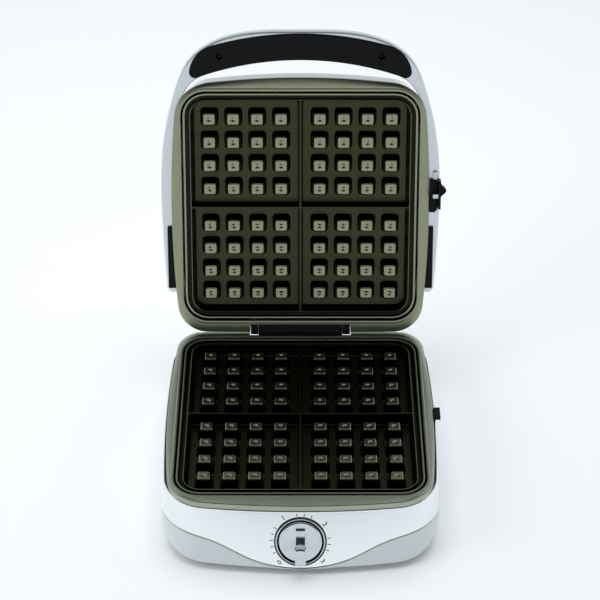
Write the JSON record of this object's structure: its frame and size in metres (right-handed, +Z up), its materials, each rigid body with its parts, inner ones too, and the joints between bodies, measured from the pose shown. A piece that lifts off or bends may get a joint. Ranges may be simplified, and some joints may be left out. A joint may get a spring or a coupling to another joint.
{
  "type": "waffle maker",
  "caption": "Countertop square waffle maker with a hinged lid, deep peg plates, a curved handle bow, a side latch and a round browning dial.",
  "frame": {"origin": "on the surface it stands on, under the middle of its own box with the lid open as stored", "axes": "+X to the user's right, +Y away from the user towards the hinge, +Z up"},
  "size_m": [0.3007, 0.4318, 0.3827],
  "materials": {
    "nonstick_plate": "dark bronze non-stick",
    "bronze_frame": "satin olive bronze",
    "polished_steel": "polished",
    "silver_shell": "silver gloss",
    "handle_silver": "satin silver",
    "black_plastic": "heat-proof black",
    "gloss_black": "gloss black",
    "knob_metal": "satin chrome",
    "bright_steel": "zinc plated",
    "tray_sheet": "mill finish",
    "bronze": "sintered",
    "rubber": "matt",
    "ceramic": "glazed"
  },
  "bodies": {
    "base": {"lower_plate": "nonstick_plate", "lower_element": "bright_steel", "lower_reflector": "tray_sheet", "lower_plate_screws": "bright_steel", "lower_thermal_fuse": "ceramic", "base_bezel": "bronze_frame", "upper_shell": "polished_steel", "lower_shell": "silver_shell", "bottom_cover": "black_plastic", "bottom_screws": "bright_steel", "feet": "rubber", "dial_ring": "gloss_black", "thermostat": "black_plastic", "thermostat_probe": "bronze", "terminal_block": "ceramic", "cord_gland": "black_plastic", "hinge_barrel": "black_plastic", "hinge_pin": "bright_steel", "latch_catch": "black_plastic"},
    "lid": {"upper_plate": "nonstick_plate", "upper_element": "bright_steel", "upper_reflector": "tray_sheet", "upper_plate_screws": "bright_steel", "upper_thermal_fuse": "ceramic", "lid_bezel": "bronze_frame", "lid_cover": "polished_steel", "lid_hinge_bracket": "black_plastic", "hinge_bushes": "bronze", "lid_screws": "bright_steel", "handle_bow": "handle_silver", "handle_grip": "black_plastic", "grip_screws": "bright_steel", "arm_pads": "black_plastic", "latch_housing": "black_plastic", "latch_detent": "bright_steel"},
    "knob": {"control_knob": "knob_metal", "knob_shaft": "bright_steel", "knob_clip": "bright_steel"},
    "latch": {"latch_slider": "black_plastic", "latch_hook": "bright_steel"}
  },
  "joints": [
    {"name": "lid_hinge", "type": "hinge", "parent": "base", "child": "lid", "pos_m": [0, 0.088, 0.0759], "axis": [1, 0, 0], "range_deg": [0, 107.8]},
    {"name": "knob_turn", "type": "hinge", "parent": "base", "child": "knob", "pos_m": [0, -0.197, 0.0333], "axis": [0, -0.9397, 0.342], "range_deg": [-135, 135]},
    {"name": "latch_slide", "type": "slide", "parent": "lid", "child": "latch", "axis": [0, -0.3057, -0.9521], "range_m": [0, 0.0085]}
  ]
}
